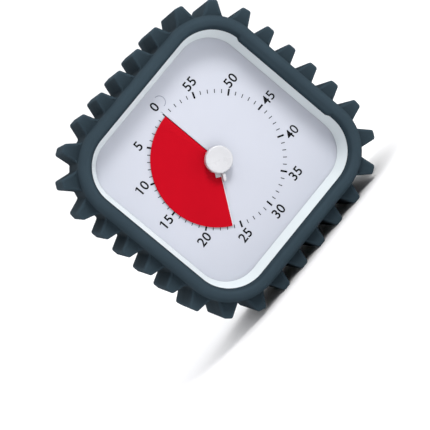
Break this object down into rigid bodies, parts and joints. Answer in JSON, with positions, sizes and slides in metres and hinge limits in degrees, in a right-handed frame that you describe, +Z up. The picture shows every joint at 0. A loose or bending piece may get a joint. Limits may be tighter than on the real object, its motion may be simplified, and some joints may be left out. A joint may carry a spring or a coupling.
{
  "type": "countdown timer",
  "caption": "Square sixty minute countdown timer with a turning knob, a disappearing red disk and a removable toothed silicone cover.",
  "frame": {"origin": "on the ground under the middle of the object, centred across and front to back", "axes": "+X to the right of the dial as it is read, +Y from the dial to the back, +Z up"},
  "size_m": [0.1072, 0.054, 0.1072],
  "materials": {
    "silicone": "matte moulded silicone",
    "white_case": "satin moulded plastic",
    "dial_white": "satin printed face",
    "knob_white": "semi-gloss moulded plastic",
    "red_film": "satin film",
    "screw_steel": "zinc plated",
    "natural_plastic": "natural moulded plastic",
    "wheel_plastic": "acetal",
    "spring_brass": "rolled",
    "magnet": "ferrite",
    "core_steel": "stamped",
    "black_plastic": "satin",
    "copper_wire": "enamelled wire",
    "board_green": "solder resist",
    "battery_jacket": "printed metal foil",
    "contact_nickel": "nickel plated",
    "lead_red": "insulated wire",
    "lead_black": "insulated wire"
  },
  "bodies": {
    "case": {"front_housing": "white_case", "rear_housing": "white_case", "housing_screws": "screw_steel", "dial_plate": "dial_white", "movement_plate": "natural_plastic", "movement_cover": "natural_plastic", "movement_screws": "screw_steel", "stator": "core_steel", "coil_core": "core_steel", "coil_bobbin": "black_plastic", "coil_winding": "copper_wire", "circuit_board": "board_green", "quartz_crystal": "screw_steel", "control_chip": "black_plastic", "sounder": "black_plastic", "switch_body": "black_plastic", "battery": "battery_jacket", "positive_contact": "contact_nickel", "negative_contact": "contact_nickel", "battery_spring": "contact_nickel", "positive_lead": "lead_red", "negative_lead": "lead_black"},
    "cover": {"sprocket_cover": "silicone"},
    "dial": {"set_knob": "knob_white", "disk_hub": "knob_white", "red_disk": "red_film", "dial_shaft": "screw_steel"},
    "minute": {"minute_wheel": "wheel_plastic", "clutch_spring": "spring_brass"},
    "third": {"third_wheel": "wheel_plastic"},
    "seconds": {"seconds_wheel": "wheel_plastic"},
    "intermediate": {"intermediate_wheel": "wheel_plastic"},
    "rotor": {"rotor_pinion": "wheel_plastic", "rotor_magnet": "magnet"},
    "door": {"battery_door": "white_case"},
    "slider": {"switch_slider": "black_plastic"}
  },
  "joints": [
    {"name": "cover_pull", "type": "slide", "parent": "case", "child": "cover", "axis": [0, -1, 0], "range_m": [0, 0.06]},
    {"name": "dial_turn", "type": "hinge", "parent": "case", "child": "dial", "pos_m": [0, 0, 0.0536], "axis": [0, -1, 0], "range_deg": [-142.8, 217.2], "deforming": ["red_disk"]},
    {"name": "seconds_spin", "type": "hinge", "parent": "case", "child": "seconds", "pos_m": [-0.01306, 0, 0.06017], "axis": [0, -1, 0], "continuous": true},
    {"name": "intermediate_spin", "type": "hinge", "parent": "case", "child": "intermediate", "pos_m": [-0.00396, 0, 0.06542], "axis": [0, -1, 0], "continuous": true},
    {"name": "rotor_spin", "type": "hinge", "parent": "case", "child": "rotor", "pos_m": [0.00504, 0, 0.06542], "axis": [0, -1, 0], "continuous": true},
    {"name": "third_spin", "type": "hinge", "parent": "case", "child": "third", "pos_m": [-0.01118, 0, 0.04953], "axis": [0, -1, 0], "continuous": true},
    {"name": "minute_spin", "type": "hinge", "parent": "case", "child": "minute", "pos_m": [0, 0, 0.0536], "axis": [0, -1, 0], "continuous": true},
    {"name": "door_open", "type": "hinge", "parent": "case", "child": "door", "pos_m": [0, 0.0252, 0.0169], "axis": [-1, 0, 0], "range_deg": [0, 95]},
    {"name": "switch_slide", "type": "slide", "parent": "case", "child": "slider", "axis": [1, 0, 0], "range_m": [0, 0.004]}
  ],
  "couplings": [
    {"joint": "intermediate_spin", "follows": "seconds_spin", "ratio": -6},
    {"joint": "rotor_spin", "follows": "seconds_spin", "ratio": 30},
    {"joint": "third_spin", "follows": "seconds_spin", "ratio": -0.125},
    {"joint": "minute_spin", "follows": "seconds_spin", "ratio": 0.016667}
  ]
}
